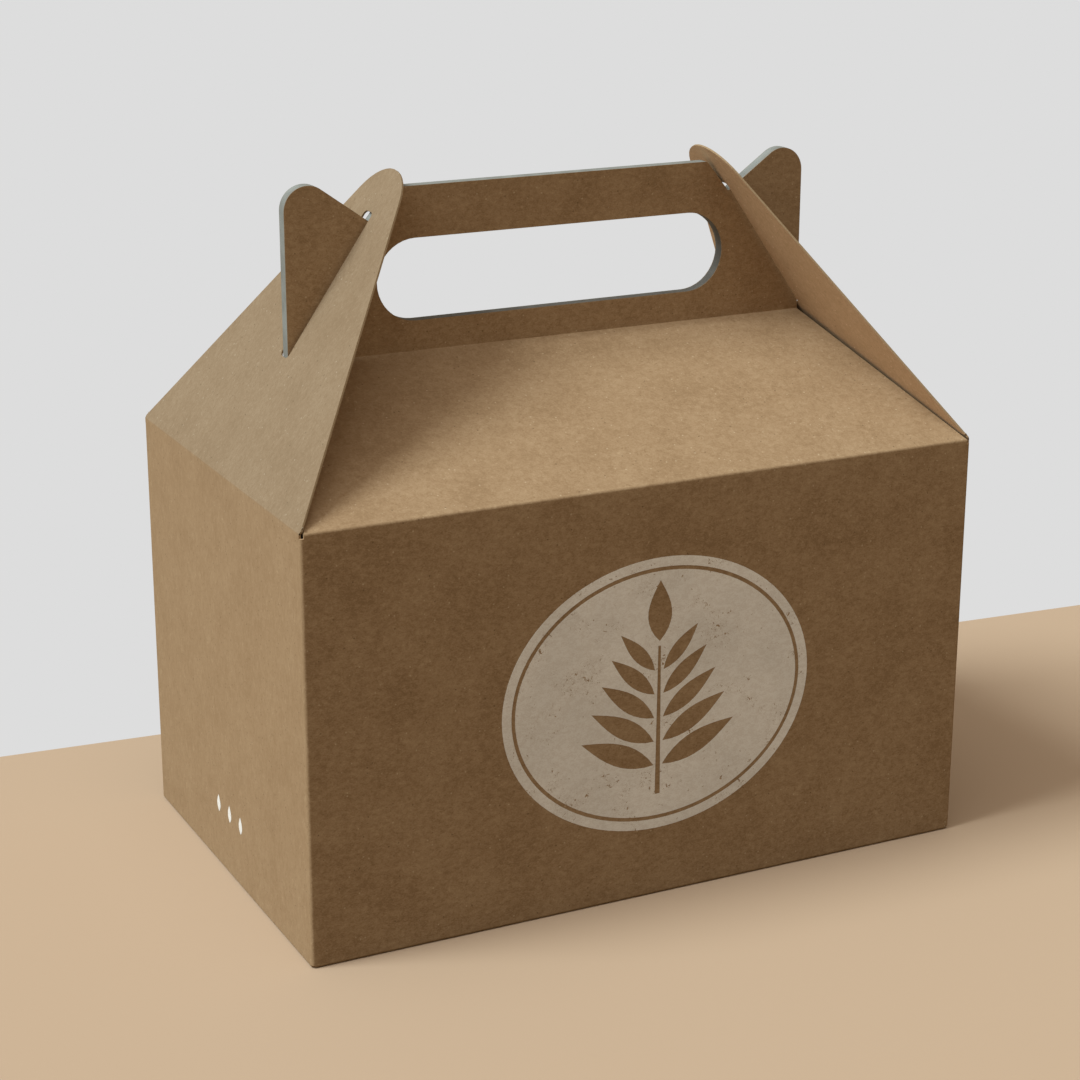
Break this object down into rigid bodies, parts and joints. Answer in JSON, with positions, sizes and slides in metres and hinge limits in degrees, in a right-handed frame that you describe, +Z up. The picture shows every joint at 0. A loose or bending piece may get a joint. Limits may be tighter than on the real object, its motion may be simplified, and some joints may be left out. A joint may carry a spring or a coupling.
{
  "type": "gable box",
  "caption": "Folded kraft board carry box with a gable roof, a doubled handle with a hand hole, and slotted end flaps that lock over the handle's ears.",
  "frame": {"origin": "middle of the base, on the surface the box stands on", "axes": "+X along the box towards the right end, +Y from the front wall towards the back wall, +Z up"},
  "size_m": [0.23, 0.142, 0.2251],
  "materials": {
    "kraft_board": "matte brown kraft board with fine fibres"
  },
  "bodies": {
    "carton": {"carton": "kraft_board"},
    "left_lock_flap": {"left_lock_flap": "kraft_board"},
    "right_lock_flap": {"right_lock_flap": "kraft_board"}
  },
  "joints": [
    {"name": "left_flap_hinge", "type": "hinge", "parent": "carton", "child": "left_lock_flap", "pos_m": [-0.1147, 0, 0.1365], "axis": [0, -1, 0], "range_deg": [0, 150]},
    {"name": "right_flap_hinge", "type": "hinge", "parent": "carton", "child": "right_lock_flap", "pos_m": [0.1147, 0, 0.1365], "axis": [0, 1, 0], "range_deg": [0, 150]}
  ]
}
